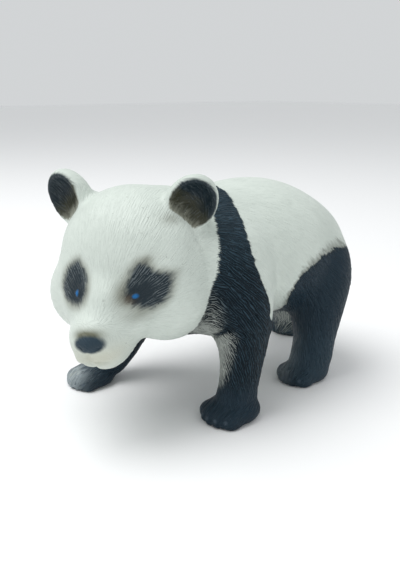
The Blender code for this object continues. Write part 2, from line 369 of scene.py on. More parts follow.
chance = np.random.default_rng(SEED_OF_CHANCE)
seeds = chance.choice(len(points), TUFT_COUNT, replace=False)
seed_places = points[seeds]
seed_ways = flow[seeds]
seed_sides = np.cross(normals[seeds], seed_ways)
seed_tree = kdtree.KDTree(TUFT_COUNT)
for number, place in enumerate(seed_places):
    seed_tree.insert(place, number)
seed_tree.balance()
print("seeds:", len(seeds), "for", len(points), "points")

# %% Join each point to a tuft
TUFT_STRETCH = 2.6
NEIGHBOURS = 8


def tuft_of(places):
    """For each place, the tuft it belongs to, and how far along and across that tuft it is."""
    nearest = np.array([
        [found[1] for found in seed_tree.find_n(place, NEIGHBOURS)] for place in places
    ])
    gap = places[:, None, :] - seed_places[nearest]
    along = (gap * seed_ways[nearest]).sum(axis=2)
    across = (gap * seed_sides[nearest]).sum(axis=2)
    lift = np.linalg.norm(gap, axis=2) ** 2 - along ** 2 - across ** 2
    score = (along / TUFT_STRETCH) ** 2 + across ** 2 + np.maximum(lift, 0)
    best = score.argmin(axis=1)
    rows = np.arange(len(places))
    return nearest[rows, best], along[rows, best], across[rows, best]


tuft, along, across_tuft = tuft_of(points)
print("tufts:", len(np.unique(tuft)), "in use")

# %% [markdown]
# ## Paint areas
#
# Each painted area is a distance in millimetres to its edge: positive inside, negative outside.
# The shoulder band's edges lean with height, so they are curves of y over z. Every tuft shifts
# the edge a little by its own amount, because the brush went from tuft to tuft. The material
# adds the finer strokes of the edge, so one smooth number for each point is enough.

# %% Edges of the shoulder band
BAND_FRONT_Z = (20, 33, 37, 41, 45, 50, 56, 59, 62, 70)
BAND_FRONT_Y = (-34, -28, -27, -25.2, -23.2, -21.7, -19.6, -17.4, -15.6, -13)
BAND_REAR_Z = (20, 28, 31.5, 35, 38.5, 42, 46, 51, 54, 57, 59, 61, 63, 65, 68)
BAND_REAR_Y = (-2, -4, -7.6, -7.8, -8.6, -10, -11.5, -12.6, -12.2, -10.9, -9.3, -7.7, -6.4, -4.9, -3)
FRONT_RAG = 0.35
REAR_RAG = 0.6

x, y, z = points.T
rag = (chance.random(TUFT_COUNT) - 0.5)[tuft]
behind = np.interp(z, BAND_REAR_Z, BAND_REAR_Y) - y
band = np.minimum(
    y - np.interp(z, BAND_FRONT_Z, BAND_FRONT_Y) + rag * FRONT_RAG,
    behind + rag * REAR_RAG,
)
print("points in the band:", int((band > 0).sum()))

# %% Edges of the hind legs
THIGH_TOP_Y = (6, 9, 10.5, 13, 16.5, 19, 23, 30, 40, 50)
THIGH_TOP_Z = (30, 38, 40.4, 41.8, 42.8, 44.2, 45.6, 46.2, 44, 38)
THIGH_FRONT_Z = (18, 27, 32, 35, 38, 42)
THIGH_FRONT_Y = (13.5, 12.5, 9.5, 8.6, 8.6, 9)
INNER_THIGH = 9
INNER_THIGH_TOP = 30
INNER_THIGH_LEAN = 0.4
THIGH_RAG = 1.0

thigh = np.minimum(
    np.interp(y, THIGH_TOP_Y, THIGH_TOP_Z) - z,
    y - np.interp(z, THIGH_FRONT_Z, THIGH_FRONT_Y),
)
below_groin = INNER_THIGH_LEAN * np.maximum(0, INNER_THIGH_TOP - z)
thigh = np.minimum(thigh, np.abs(x) - INNER_THIGH + below_groin)
thigh += rag * THIGH_RAG
print("points on the hind legs:", int((thigh > 0).sum()))

# %% All that is black
BELLY = 20.5
RUFF = 4

local = in_head(points)
off_head = np.linalg.norm(local, axis=1) - HEAD_RADIUS
dark = np.maximum(np.minimum(np.maximum(band, BELLY - z), off_head + RUFF), thigh)
print("points in the dark:", int((dark > 0).sum()))

# %% [markdown]
# ## Eye patches, eyes and nose
#
# The two patches are uneven in the real paint, so each is an outline of a dozen points or so,
# seen from the front of the head. The eyes and the nose are plain ovals.

# %% Outlines of the eye patches
LEFT_PATCH = (
    (6.2, -1.6), (6.3, 1.6), (7.3, 4.8), (9.0, 6.6), (10.8, 7.0), (12.0, 5.6), (13.4, 4.4),
    (15.4, 4.0), (17.3, 3.1), (16.9, 0), (16.2, -2.4), (14.8, -4.2), (12.6, -5.0), (10.2, -4.8),
    (7.9, -3.7),
)
RIGHT_PATCH = (
    (-4.1, 0.2), (-4.7, 2.4), (-5.7, 4.6), (-7.8, 6.8), (-9.4, 6.0), (-11.4, 4.4), (-12.8, 2.0),
    (-13.7, -1.2), (-12.5, -3.4), (-9.3, -4.3), (-6.6, -4.1), (-4.9, -2.7),
)
FACE_AHEAD = 5
FAR_OUTSIDE = -9.0


def outline_distance(across, up, outline):
    """Signed distance to a closed outline: positive inside it."""
    corners = np.array(outline)
    closest = np.full(len(across), np.inf)
    inside = np.zeros(len(across), bool)
    for (ax, ay), (bx, by) in zip(corners, np.roll(corners, -1, axis=0)):
        way = np.array((bx - ax, by - ay))
        share = np.clip(((across - ax) * way[0] + (up - ay) * way[1]) / (way @ way), 0, 1)
        gap = np.hypot(across - ax - share * way[0], up - ay - share * way[1])
        closest = np.minimum(closest, gap)
        if by != ay:
            crosses = (ay > up) != (by > up)
            inside ^= crosses & (across < ax + (up - ay) * way[0] / way[1])
    return np.where(inside, closest, -closest)


across, forward, up = local.T
patch = np.maximum(
    outline_distance(across, up, LEFT_PATCH), outline_distance(across, up, RIGHT_PATCH),
)
patch = np.where(forward > FACE_AHEAD, patch, FAR_OUTSIDE)
print("points in the eye patches:", int((patch > 0).sum()))

# %% Ovals of the eyes and the nose
EYE_LEFT_OVAL = (1.0, 3, 0.75)
EYE_RIGHT_OVAL = (0.7, 3, 1.0)
NOSE_PAINT = (-0.1, 27.6, -11.2)
NOSE_OVAL = (3.9, 6, 2.25)


def oval(spot, radii):
    """Rough signed distance to an ellipsoid in the head's directions."""
    reach = np.linalg.norm((local - np.array(spot)) / np.array(radii), axis=1)
    return (1 - reach) * min(radii)


eyes = np.maximum(oval(EYE_LEFT, EYE_LEFT_OVAL), oval(EYE_RIGHT, EYE_RIGHT_OVAL))
nose = oval(NOSE_PAINT, NOSE_OVAL)
print("points in the eyes:", int((eyes > 0).sum()), "on the nose:", int((nose > 0).sum()))

# %% [markdown]
# ## Bowls of the ears
#
# The CAD figure's ears are already cupped. The paint has to stay inside the cup and leave a
# white rim, so each bowl has directions of its own: out of the opening, up the ear and across it.

# %% Paint inside the ears
EAR_CENTRES = ((18.1, -3.0, 18.8), (-18.0, -3.0, 20.0))
EAR_OUTWARD = math.radians(21)
EAR_BOW = math.radians(7)
EAR_LEAN = math.radians(35)
EAR_BOWL = (6.5, 7.0)
EAR_BOWL_RAISED = 1.0
EAR_BOWL_BACK = -3.2
EAR_RIM_AHEAD = 3.6
EAR_RIM_SLOPE = 1.5
FACES_BACK = -0.35
EAR_REACH = 1.6
SHADE_UP = 0.95
SHADE_OUT = 0.3


def ear_axes(side):
    """The directions across an ear, up it and out of its opening, where side is 1 on the left."""
    opening = Vector((
        side * math.sin(EAR_OUTWARD), math.cos(EAR_OUTWARD), -math.sin(EAR_BOW),
    )).normalized()
    level = Vector((0, 0, 1)).cross(opening).normalized()
    upright = opening.cross(level)
    upward = upright * math.cos(EAR_LEAN) - level * (side * math.sin(EAR_LEAN))
    return np.array(upward.cross(opening)), np.array(upward), np.array(opening)


bowl = np.full(len(points), FAR_OUTSIDE)
bowl_height = np.zeros(len(points))
for centre in EAR_CENTRES:
    side = math.copysign(1, centre[0])
    sideways, upward, opening = ear_axes(side)
    from_ear = local - np.array(centre) - upward * EAR_BOWL_RAISED
    flat = np.hypot(from_ear @ sideways / EAR_BOWL[0], from_ear @ upward / EAR_BOWL[1])
    deep = from_ear @ opening
    faces_out = normals @ (HEAD_AXES.T @ opening)
    inside = np.minimum((1 - flat) * EAR_BOWL[0], (EAR_RIM_AHEAD - deep) * EAR_RIM_SLOPE)
    inside = np.where((faces_out > FACES_BACK) & (deep > EAR_BOWL_BACK), inside, FAR_OUTSIDE)
    bowl = np.maximum(bowl, inside)
    shaded = SHADE_UP * (from_ear @ upward) + SHADE_OUT * side * from_ear[:, 0]
    bowl_height = np.where(flat < EAR_REACH, shaded, bowl_height)
print("points in the ears:", int((bowl > 0).sum()))

# %% [markdown]
# ## Carve the fur
#
# Each tuft rises towards its tip and drops to the next one, and a few grooves run along it. The
# black parts are carved deep, the chest deepest, and the white back and face only lightly. The
# shoulder band also stands proud of the white body by half a millimetre, so that its rear edge
# is a real step.

# %% Grooves and tips of the tufts
PITCH_LEAST = 1.2
PITCH_SPREAD = 0.5
TIP_REACH = 4.5
TIP_LIMIT = 0.6

phase = chance.random(TUFT_COUNT) * math.tau
pitch = PITCH_LEAST + PITCH_SPREAD * chance.random(TUFT_COUNT)
grooves = np.sin(across_tuft * math.tau / pitch[tuft] + phase[tuft])
tip = np.clip(along / TIP_REACH, -TIP_LIMIT, TIP_LIMIT)
print("the grooves are", round(pitch.min(), 2), "to", round(pitch.max(), 2), "mm apart")

# %% How deep each part is carved
BLACK_RELIEF = 0.13
CHEST_RELIEF = 0.24
WHITE_RELIEF = 0.035
PATCH_RELIEF = 0.05
FACE_RELIEF = 0.015
SNOUT_AHEAD = 19
PAW_SHALLOWER = 0.75
DARK_EDGE = (-0.6, 1.0)
PAINT_MARGIN = -0.5
CARVED_FRONT = (14, 20)
CARVED_BOTTOM = (18, 24)
CARVED_TOP = (34, 44)
CARVED_RUFF = (-6, -1)
GROOVE_PART = 0.65
TIP_PART = 0.75

chest = ramp(-y, *CARVED_FRONT) * (1 - ramp(z, *CARVED_TOP)) * ramp(z, *CARVED_BOTTOM)
chest *= ramp(off_head, *CARVED_RUFF)
carving = BLACK_RELIEF * ramp(dark, *DARK_EDGE) + (CHEST_RELIEF - BLACK_RELIEF) * chest
carving = np.maximum(carving, WHITE_RELIEF)
carving *= 1 - PAW_SHALLOWER * (1 - ramp(z, *PAW_HEIGHTS))
carving = np.where((patch > PAINT_MARGIN) | (bowl > PAINT_MARGIN), PATCH_RELIEF, carving)
carving = np.where(local[:, 1] > SNOUT_AHEAD, FACE_RELIEF, carving)
relief = carving * (GROOVE_PART * grooves + TIP_PART * tip)
print("the fur stands", round(np.ptp(relief), 2), "mm from its lowest point to its highest")

# %% Step at the rear edge of the band
BAND_STEP = 0.5
STEP_EDGE = (-0.15, 0.45)
STEP_FADE = (2, 8)
STEP_HEIGHTS = (24, 30)
STEP_RUFF = (-2, 0)

step = BAND_STEP * ramp(behind + rag * REAR_RAG, *STEP_EDGE) * (1 - ramp(behind, *STEP_FADE))
step *= ramp(z, *STEP_HEIGHTS) * ramp(off_head, *STEP_RUFF)
points = points + normals * (relief + step)[:, None]
print("points raised by the step:", int((step > 0.1).sum()))

# %% [markdown]
# ## Toes and claws
#
# Each paw has five toes with a crease between them. A crease is a groove that fans out from the
# middle of the paw, and a claw is a small pale tip at the front of each toe. The four paws are
# alike, so one loop carves them all from the places of the heel and the middle toe.

# %% Carve the toes
PAWS = (
    ((24.1, -6.1), (23.5, -24.1), 8.0),
    ((-24.5, -26.9), (-24.5, -42.5), 7.2),
    ((19.1, 32.0), (17.9, 13.9), 7.2),
    ((-17.6, 62.4), (-17.1, 46.4), 7.3),
)
TOES = 5
MIDDLE_OF_PAW = 0.55
PAW_TOP = 9
PAW_MARGIN = 2
CREASE_AHEAD = (-1, 16)
CREASE_START = (0.5, 4.5)
CREASE_DEPTH = 0.38
CREASE_WIDTH = 0.13
LAST_CREASE = 2.2
FAN_NARROW = 0.72
FAN_SPREAD = 0.02
TOE_TOP = 7.5
CLAW_HEIGHT = 2.6
CLAW_SIZE = 0.95
CLAW_AHEAD = 1.4
MIDDLE_CLAW_BACK = 0.02
OUTER_CLAW_BACK = 0.13
CLAW_ROW = 0.74

claw = np.full(len(points), FAR_OUTSIDE)
for heel, toe, half_width in PAWS:
    heel, toe = np.array(heel), np.array(toe)
    reach = np.linalg.norm(toe - heel)
    way = (toe - heel) / reach
    side_way = np.array((way[1], -way[0]))
    flat = points[:, :2] - (heel * (1 - MIDDLE_OF_PAW) + toe * MIDDLE_OF_PAW)
    ahead, sideways = flat @ way, flat @ side_way
    here = (points[:, 2] < PAW_TOP) & (np.abs(sideways) < half_width + PAW_MARGIN)
    here &= (ahead > CREASE_AHEAD[0]) & (ahead < CREASE_AHEAD[1])
    fan = sideways / half_width * TOES / 2 / (FAN_NARROW + FAN_SPREAD * ahead)
    crease = np.abs(fan - np.round(fan - 0.5) - 0.5)
    crease_depth = CREASE_DEPTH * np.exp(-(crease / CREASE_WIDTH) ** 2) * here
    crease_depth *= ramp(ahead, *CREASE_START) * (np.abs(fan) < LAST_CREASE)
    crease_depth *= 1 - ramp(points[:, 2], TOE_TOP - 2, TOE_TOP)
    points = points - normals * crease_depth[:, None]
    for share in np.linspace(-1, 1, TOES):
        inset = reach * (MIDDLE_CLAW_BACK + OUTER_CLAW_BACK * share ** 2) - CLAW_AHEAD
        place = toe + side_way * share * half_width * CLAW_ROW - way * inset
        gap = np.linalg.norm(points - np.array((*place, CLAW_HEIGHT)), axis=1)
        claw = np.maximum(claw, CLAW_SIZE - gap)
print("points in the claws:", int((claw > 0).sum()))

# %% Put the carved points back
PROUD = 0.6

points[:, 2] = np.maximum(points[:, 2], 0.0)
points = np.clip(points, np.array(cad_low) / MM - PROUD, np.array(cad_high) / MM + PROUD)
skin.data.vertices.foreach_set("co", (points * MM).ravel())
skin.data.polygons.foreach_set("use_smooth", np.ones(len(skin.data.polygons), bool))
skin.data.update()
print("the skin now reaches", points.min(axis=0).round(1), "to", points.max(axis=0).round(1))

# %% [markdown]
# ## Soft paint
#
# Some of the paint has no edge and fades like a cloud. Each cloud is a spot, its three radii and
# its strength. The grey dry brush caught the ridges of the chest, of the near leg's inner side
# and of the far legs. An airbrush greyed the toes of the far paw and the near hind ankle. The
# olive haze lies round the eyes and before the left ear, and the muzzle is creamy under the nose.

# %% Cloud of paint
def clouded(start, places, clouds):
    """Soft clouds of paint, each a spot, its radii and its strength, added to a start."""
    total = start
    for spot, radii, strength in clouds:
        reach = (places - np.array(spot)) / np.array(radii)
        total = total + strength * np.exp(-(reach ** 2).sum(axis=1))
    return total


# %% Grey dry brush
STRIP_Z = (9, 11, 15, 20, 24, 29, 31)
STRIP_X = (24.0, 24.9, 26.2, 27.3, 28.2, 28.8, 28.8)
STRIP_EDGE = (-2.4, 6.0)
STRIP_BOTTOM = (6, 15)
STRIP_TOP = (27, 31)
STRIP_FRONT = (12, 16)
STRIP_STRENGTH = 1.45
DRY_BRUSH = (
    ((11, -29, 24), (9, 9, 5), 1.0),
    ((18, -26, 32), (9, 8, 11), 1.1),
    ((-26, -41, 5), (5, 5, 5), 0.5),
    ((12.5, 14, 10), (4, 6, 12), 0.5),
    ((-13.5, 45, 8), (6, 7, 7), 1.1),
    ((-18, -27, 24), (5, 5, 9), 0.5),
)
FOLD_SHADOW = (1.1, 0.9)

x, y, z = points.T
strip = ramp(np.interp(z, STRIP_Z, STRIP_X) - x, *STRIP_EDGE)
strip *= ramp(z, *STRIP_BOTTOM) * (1 - ramp(z, *STRIP_TOP))
strip *= ramp(-y, *STRIP_FRONT) * ramp(x, *STRIP_FRONT)
brushed = clouded(strip * STRIP_STRENGTH, points, DRY_BRUSH)
brushed *= 1 - floor_groove(*CHEST_FOLD, *FOLD_SHADOW)
print("points under the dry brush:", int((brushed > 0.3).sum()))

# %% Airbrushed grey, and the dark line between two toes
AIRBRUSH = (
    ((-25.8, -42.6, 4), (5.2, 5.2, 6), 1.6),
    ((17, 13, 4), (3, 5, 6), 0.3),
    ((17.5, 18, 11), (2.5, 4, 6), 0.25),
)
TOE_LINE = ((-25.8, -43.4, 1.5), (-25.5, -42.5, 3.6), (-25.2, -40.5, 5.3), (-23.8, -37.5, 6.3))
TOE_SHADOW = (0.55, 0.45)

airbrushed = clouded(0, points, AIRBRUSH)
for start, end in zip(TOE_LINE, TOE_LINE[1:]):
    airbrushed -= floor_groove(start, end, *TOE_SHADOW)
airbrushed = np.clip(airbrushed, 0, 1)
print("points under the airbrush:", int((airbrushed > 0.3).sum()))

# %% Where the strokes are calm, and where the black is paler
CALM_LEGS = 0.75
CALM_THIGH = (-0.5, 1.5)
CALM_HEIGHTS = (7, 16)
CALM_FACE = 0.8
CALM_AHEAD = (0, 12)
CALM_PAW = ((-25, -38, 6), (9, 9, 9), 1.0)
SHOULDER_HEIGHTS = (42, 58)
SHANK_HEIGHTS = (10, 24)
SHANK_EDGE = (0, 2)

calm = np.maximum(ramp(thigh, *CALM_THIGH), 1 - ramp(z, *CALM_HEIGHTS)) * CALM_LEGS
calm = np.maximum(calm, clouded(0, points, (CALM_PAW,)))
calm = np.maximum(calm, CALM_FACE * ramp(local[:, 1], *CALM_AHEAD))
lit = ramp(z, *SHOULDER_HEIGHTS) + (1 - ramp(z, *SHANK_HEIGHTS)) * ramp(thigh, *SHANK_EDGE)
print("calm points:", int((calm > 0.5).sum()), "paler points:", int((lit > 0.5).sum()))

# %% Haze, cream and freckles of dirt on the head
HAZE = (
    ((5.4, 19, -0.5), (2.2, 4, 4.0), 0.55),
    ((9.6, 18, -6.4), (4.4, 4, 1.8), 0.4),
    ((11.2, 14, 7.2), (2.8, 5, 1.6), 0.5),
    ((-3.9, 19, -0.5), (1.2, 4, 3.4), 0.3),
    ((-8, 16, -5.2), (4, 4, 1.4), 0.3),
    ((15.2, 4.2, 16.0), (3.0, 3, 1.6), 0.45),
)
EYE_CORNERS = (
    ((6.9, 18, -1.9), (0.9, 3, 0.8), 0.6),
    ((7.4, 18, -3.0), (1.5, 3, 0.7), 0.4),
)
NOSE_SPRAY = ((-0.6, 27.3, -9.1), (3.6, 3, 1.35), 1.4)
CREAM_SPRAY = ((1, 26, -15.5), (9, 7, 3.6), 0.7)
FRECKLES = (
    (8.1, 6.7, 19.5), (16.3, 3.9, 14.5), (3.0, 4.8, 21.9), (9.2, 11.7, 14.0), (4.6, 25.5, -15.5),
    (1.5, 21.1, -1.8), (19.5, -0.2, 11.4), (12.3, 9.2, 13.5),
)
FRECKLE_SIZE = 0.45

haze = clouded(0, local, HAZE)
corners = clouded(0, local, EYE_CORNERS)
nose_fade = clouded(0, local, (NOSE_SPRAY,))
cream = clouded(0, local, (CREAM_SPRAY,))
freckle = np.full(len(points), FAR_OUTSIDE)
for spot in FRECKLES:
    freckle = np.maximum(freckle, FRECKLE_SIZE - np.linalg.norm(local - np.array(spot), axis=1))
print("points in the haze:", int((haze > 0.2).sum()), "freckles:", len(FRECKLES))

# %% Store the paint on the skin
LOOKS = {
    "dark": dark, "patch": patch, "bowl": bowl, "bowl_height": bowl_height, "eyes": eyes,
    "corners": corners, "nose": nose, "claw": claw, "brushed": brushed, "haze": haze,
    "cream": cream, "thigh": thigh, "nose_fade": nose_fade, "airbrushed": airbrushed,
    "calm": calm, "freckle": freckle, "lit": lit,
}
for name, values in LOOKS.items():
    layer = skin.data.attributes.new(name, "FLOAT", "POINT")
    layer.data.foreach_set("value", values.astype(np.float32))
print("stored:", ", ".join(LOOKS))

# %% [markdown]
# ## A map for the strokes
#
# A brush stroke is far finer than the quads, so the material draws it. For that it needs to know
# which way the fur lies, and the UV map says so: u runs along the tuft and v across it, both in
# millimetres. Each tuft is shifted to a place of its own, so no two show the same strokes.

# %% UV map of the strokes
UV_SPREAD = 40

corner_vertex = np.empty(len(skin.data.loops), np.int32)
skin.data.loops.foreach_get("vertex_index", corner_vertex)
loop_totals = np.empty(len(skin.data.polygons), np.int32)
skin.data.polygons.foreach_get("loop_total", loop_totals)
face_of_corner = np.repeat(np.arange(len(skin.data.polygons)), loop_totals)
centres = np.empty(len(skin.data.polygons) * 3)
skin.data.polygons.foreach_get("center", centres)
face_tuft, _, _ = tuft_of(centres.reshape(-1, 3) / MM)
shift = chance.random((TUFT_COUNT, 2)) * UV_SPREAD
own = face_tuft[face_of_corner]
gap = points[corner_vertex] - seed_places[own]
uv = np.stack([
    (gap * seed_ways[own]).sum(axis=1) + shift[own, 0],
    (gap * seed_sides[own]).sum(axis=1) + shift[own, 1],
], axis=1)
strokes_map = skin.data.uv_layers.new(name="strokes")
strokes_map.data.foreach_set("uv", uv.astype(np.float32).ravel())
print("strokes map:", len(uv), "corners")

# %% [markdown]
# ## The paint
#
# One material paints the whole casting, as one set of brushes did. Small helpers keep the node
# tree readable: each makes one node, and links whatever it is given.

# %% Node helpers
paint = bpy.data.materials.new("painted vinyl")
paint.use_nodes = True
nodes = paint.node_tree.nodes
links = paint.node_tree.links
nodes.clear()


def put(socket, value):
    """Links a node's output to a socket, or sets the socket to a plain value."""
    if isinstance(value, bpy.types.NodeSocket):
        links.new(value, socket)
    else:
        socket.default_value = value


def read(name):
    """One of the numbers stored on the skin."""
    node = nodes.new("ShaderNodeAttribute")
    node.attribute_name = name
    return node.outputs["Fac"]


def calc(operation, *values):
    """A sum, product or other plain operation on numbers."""
    node = nodes.new("ShaderNodeMath")
    node.operation = operation
    for socket, value in zip(node.inputs, values):
        put(socket, value)
    return node.outputs[0]


def times(*values):
    """The product of two or more shares."""
    result = values[0]
    for value in values[1:]:
        result = calc("MULTIPLY", result, value)
    return result


def climb(value, low, high):
    """0 below low, 1 above high. With low over high it falls instead."""
    node = nodes.new("ShaderNodeMapRange")
    node.interpolation_type = "SMOOTHSTEP"
    falls = low > high
    put(node.inputs["Value"], value)
    put(node.inputs["From Min"], min(low, high))
    put(node.inputs["From Max"], max(low, high))
    put(node.inputs["To Min"], 1.0 if falls else 0.0)
    put(node.inputs["To Max"], 0.0 if falls else 1.0)
    return node.outputs["Result"]


def blend(share, under, over):
    """One colour over another by a share."""
    node = nodes.new("ShaderNodeMix")
    node.data_type = "RGBA"
    put(node.inputs["Factor"], share)
    put(node.inputs["A"], under)
    put(node.inputs["B"], over)
    return node.outputs["Result"]


# %% [markdown]
# ## Strokes of the brush
#
# Noise on the strokes map, squeezed along the fur, gives long soft strokes and finer hairs. A
# sine across the fur, bent by that noise, gives an even comb: the grey of a stiff brush lies on
# its ridges, and so does a painted highlight on the black, while painted shade lies in its troughs
# on the white. Noise on the figure's own coordinates gives the blotches and the specks of dirt.

# %% Noise for strokes, hairs, blotches and specks
STROKE_SCALE = (0.20, 1.0, 1)
HAIR_SCALE = (0.35, 2.2, 1)
MOTTLE_SCALE = 90
SPECK_SCALE = 900


def grain(place, scale, detail, roughness=0.5):
    """Soft noise round a half."""
    node = nodes.new("ShaderNodeTexNoise")
    put(node.inputs["Vector"], place)
    node.inputs["Scale"].default_value = scale
    node.inputs["Detail"].default_value = detail
    node.inputs["Roughness"].default_value = roughness
    return node.outputs["Fac"]


def stretched(place, scale):
    """A place scaled by its own amount along each direction."""
    node = nodes.new("ShaderNodeMapping")
    put(node.inputs["Vector"], place)
    node.inputs["Scale"].default_value = scale
    return node.outputs["Vector"]


strokes_uv = nodes.new("ShaderNodeUVMap")
strokes_uv.uv_map = "strokes"
on_fur = strokes_uv.outputs["UV"]
surface = nodes.new("ShaderNodeTexCoord").outputs["Object"]

stroke = grain(stretched(on_fur, STROKE_SCALE), 1.0, 1.0)
hair = grain(stretched(on_fur, HAIR_SCALE), 1.0, 1.0)
mottle = grain(surface, MOTTLE_SCALE, 3.0, 0.55)
specks = grain(surface, SPECK_SCALE, 1.0)
print("a blotch is about", round(1 / (MOTTLE_SCALE * MM)), "mm wide")

# %% Comb, and edges that the strokes make ragged
COMB_PITCH = 0.66
COMB_BEND = 11.0
COMB_FRAY = 3.0

wobble = calc("SUBTRACT", stroke, 0.5)
fray = calc("SUBTRACT", hair, 0.5)
fur_parts = nodes.new("ShaderNodeSeparateXYZ")
put(fur_parts.inputs[0], on_fur)
turn = calc("ADD", times(fur_parts.outputs["Y"], math.tau / COMB_PITCH), times(stroke, COMB_BEND))
comb = calc("ADD", calc("SINE", turn), times(fray, COMB_FRAY))


def ragged(name, amount):
    """A stored distance whose edge the strokes push in and out."""
    return calc("ADD", read(name), times(wobble, amount))


print("the comb's teeth are", COMB_PITCH, "mm apart")

# %% [markdown]
# ## White
#
# The white has a breath of mint in it and painted shade in its grooves. It is darker in wide
# blotches, and as painted shade a little darker between the strokes and in the troughs of the comb.
# It is creamy under the nose, and freckled with dirt.

# %% Bare white
WHITE = (0.65, 0.71, 0.655, 1)
WHITE_SHADE = (0.47, 0.525, 0.48, 1)
CREAM = (0.56, 0.55, 0.44, 1)
DIRT = (0.20, 0.21, 0.19, 1)
BLOTCH_SHARE = 0.35
STROKE_SHARE = 0.14
COMB_SHARE = 0.16
SPECK_SHARE = 0.5
FRECKLE_SHARE = 0.45

lively = climb(read("calm"), 1.1, -0.1)
off_ridge = calc("ABSOLUTE", wobble)
white = blend(times(climb(mottle, 0.35, 0.75), BLOTCH_SHARE), WHITE, WHITE_SHADE)
# Painted shade: the white is greyer between the strokes and in the troughs of the comb, where the
# grooves lie.
white = blend(times(climb(off_ridge, 0.05, 0.16), STROKE_SHARE), white, WHITE_SHADE)
white = blend(times(climb(comb, 0.2, -1.2), lively, COMB_SHARE), white, WHITE_SHADE)
white = blend(read("cream"), white, CREAM)
white = blend(times(climb(specks, 0.77, 0.82), SPECK_SHARE), white, DIRT)
white = blend(times(climb(read("freckle"), -0.1, 0.35), FRECKLE_SHARE), white, DIRT)

# %% [markdown]
# ## Black
#
# The black is a very dark blue with a painted highlight on its ridges. The legs' brushwork
# is calmer, the toes of the far paw are sprayed grey, and an olive fringe lies along the thigh.
# Its edge over the white is serrated by the strokes.

# %% Black areas over the white
BLACK = (0.003, 0.010, 0.016, 1)
BLACK_RIDGE_HIGHLIGHT = (0.027, 0.055, 0.076, 1)
BLACK_CALM = (0.016, 0.033, 0.049, 1)
BLACK_LIT = (0.055, 0.098, 0.13, 1)
PAW_GREY = (0.33, 0.38, 0.40, 1)
HALO = (0.085, 0.076, 0.038, 1)
OLIVE = (0.044, 0.046, 0.028, 1)
LIT_SHARE = 0.22
FRINGE_SHARE = 0.65
DARK_RAG = 1.2
DARK_TEETH = 0.16
FRINGE_RAG = 5

serrated = calc("ADD", ragged("dark", DARK_RAG), times(comb, DARK_TEETH))
dark_share = climb(serrated, -0.3, 0.45)
black = blend(read("calm"), BLACK, BLACK_CALM)
# Painted highlight: the black is paler on the ridges of the comb.
black = blend(times(climb(comb, -0.2, 1.0), lively), black, BLACK_RIDGE_HIGHLIGHT)
black = blend(times(read("lit"), LIT_SHARE), black, BLACK_LIT)
black = blend(times(read("airbrushed"), climb(stroke, 0.1, 0.6)), black, PAW_GREY)
fringe = times(climb(ragged("thigh", FRINGE_RAG), -3.4, 0.6), FRINGE_SHARE)
colour = blend(times(read("haze"), climb(mottle, 0.15, 0.55)), white, HALO)
colour = blend(fringe, colour, OLIVE)
colour = blend(dark_share, colour, black)

# %% Eye patches, with a soft halo and scratches near the rim
BLACK_EAR = (0.008, 0.019, 0.027, 1)
SCRATCH = (0.17, 0.20, 0.21, 1)
PATCH_RAG = 1.8
HALO_RAG = 0.6
HALO_SHARE = 0.5
RIM_RAG = 5
SCRATCH_SHARE = 0.62

halo = times(climb(ragged("patch", HALO_RAG), -2.4, 0.3), HALO_SHARE)
patch_share = climb(ragged("patch", PATCH_RAG), -1.0, 1.0)
away_from_eye = climb(read("eyes"), -1.0, -2.6)
rim_only = climb(ragged("patch", RIM_RAG), 4.2, 1.8)
scratched = times(climb(comb, -0.1, 1.3), away_from_eye, rim_only, SCRATCH_SHARE)
colour = blend(halo, colour, HALO)
colour = blend(patch_share, colour, blend(scratched, BLACK_EAR, SCRATCH))

# %% Dry brush on the ridges
GREY = (0.41, 0.44, 0.41, 1)
BRUSH_TEETH = 0.42

brush_here = climb(read("brushed"), 0.12, 0.45)
brush_share = climb(calc("ADD", read("brushed"), times(comb, BRUSH_TEETH)), 0.30, 1.25)
colour = blend(times(brush_share, brush_here, dark_share), colour, GREY)

# %% [markdown]
# ## Ears, nose and eyes
#
# The bowl of each ear goes from black at its top over olive to a pale foot, sprayed from above.
# The nose is a soft black oval under a sprayed shadow. The eyes are bright blue dots, each
# painted last with the tip of a brush, and the left one has a brown corner.

# %% Bowls of the ears
EAR_PALE = (0.32, 0.33, 0.27, 1)
EAR_RAG = 5
EAR_HAIRS = 0.2
BOWL_RAG = 0.9

height = ragged("bowl_height", EAR_RAG)
ear = blend(climb(height, 2.6, -2.0), BLACK_EAR, OLIVE)
ear = blend(times(climb(hair, 0.52, 0.68), EAR_HAIRS), ear, SCRATCH)
ear = blend(climb(height, -2.2, -6.5), ear, EAR_PALE)
ear_share = times(climb(ragged("bowl", BOWL_RAG), -0.3, 0.5), climb(height, -8.5, -5.0))
colour = blend(ear_share, colour, ear)

# %% Nose, eyes and claws
NOSE_BLACK = (0.019, 0.040, 0.058, 1)
NOSE_FADE = (0.13, 0.135, 0.09, 1)
NOSE_RAG = 0.3
EYE_BLUE = (0.004, 0.128, 0.36, 1)
EYE_CORNER = (0.10, 0.073, 0.045, 1)
CLAW = (0.08, 0.11, 0.14, 1)
CLAW_SHARE = 0.6

colour = blend(read("nose_fade"), colour, NOSE_FADE)
colour = blend(climb(ragged("nose", NOSE_RAG), -0.5, 0.4), colour, NOSE_BLACK)
colour = blend(read("corners"), colour, EYE_CORNER)
colour = blend(climb(read("eyes"), -0.1, 0.5), colour, EYE_BLUE)
colour = blend(times(climb(read("claw"), 0.0, 0.6), CLAW_SHARE), colour, CLAW)
print("the colour takes", len(nodes), "nodes")

# %% [markdown]
# ## Gloss and fine grooves
#
# The paint is satin, and the black is duller than the white. The comb and the hairs are also cut
# into the surface as a bump, because they are finer than the quads: deepest on the lively
# black, and faint on the white.

# %% Bump, roughness and shader
GROOVE_DEPTH = 0.00085
COMB_CUT = 0.22
HAIR_CUT = 0.5
WHITE_CUT = 0.15
BLACK_CUT = 0.15
LIVELY_CUT = 0.6
ROUGHNESS = 0.38
ROUGHNESS_SPREAD = 0.16
WHITE_GLOSS = 0.3
BLACK_DULLER = 0.14

